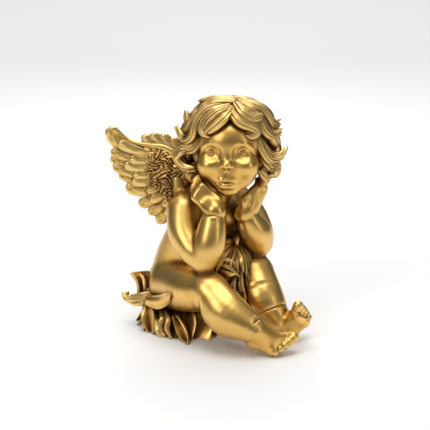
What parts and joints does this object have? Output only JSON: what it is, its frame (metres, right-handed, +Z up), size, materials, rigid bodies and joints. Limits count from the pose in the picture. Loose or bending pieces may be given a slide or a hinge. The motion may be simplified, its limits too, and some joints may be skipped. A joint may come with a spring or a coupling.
{
  "type": "seated cherub figurine",
  "caption": "Seated winged cherub figurine, chin in hands and elbows on knees, cast in one piece with the draped cloth it sits on, in satin gold paint.",
  "frame": {"origin": "on the flat underside, below the hips of the seated figure", "axes": "+Z up out of the ground, -Y the way that the figure faces and its legs point, +X to the figure's left"},
  "size_m": [0.0839, 0.1289, 0.1543],
  "materials": {
    "gold_paint": "satin"
  },
  "bodies": {
    "root": {"cherub_figurine": "gold_paint"}
  },
  "joints": []
}
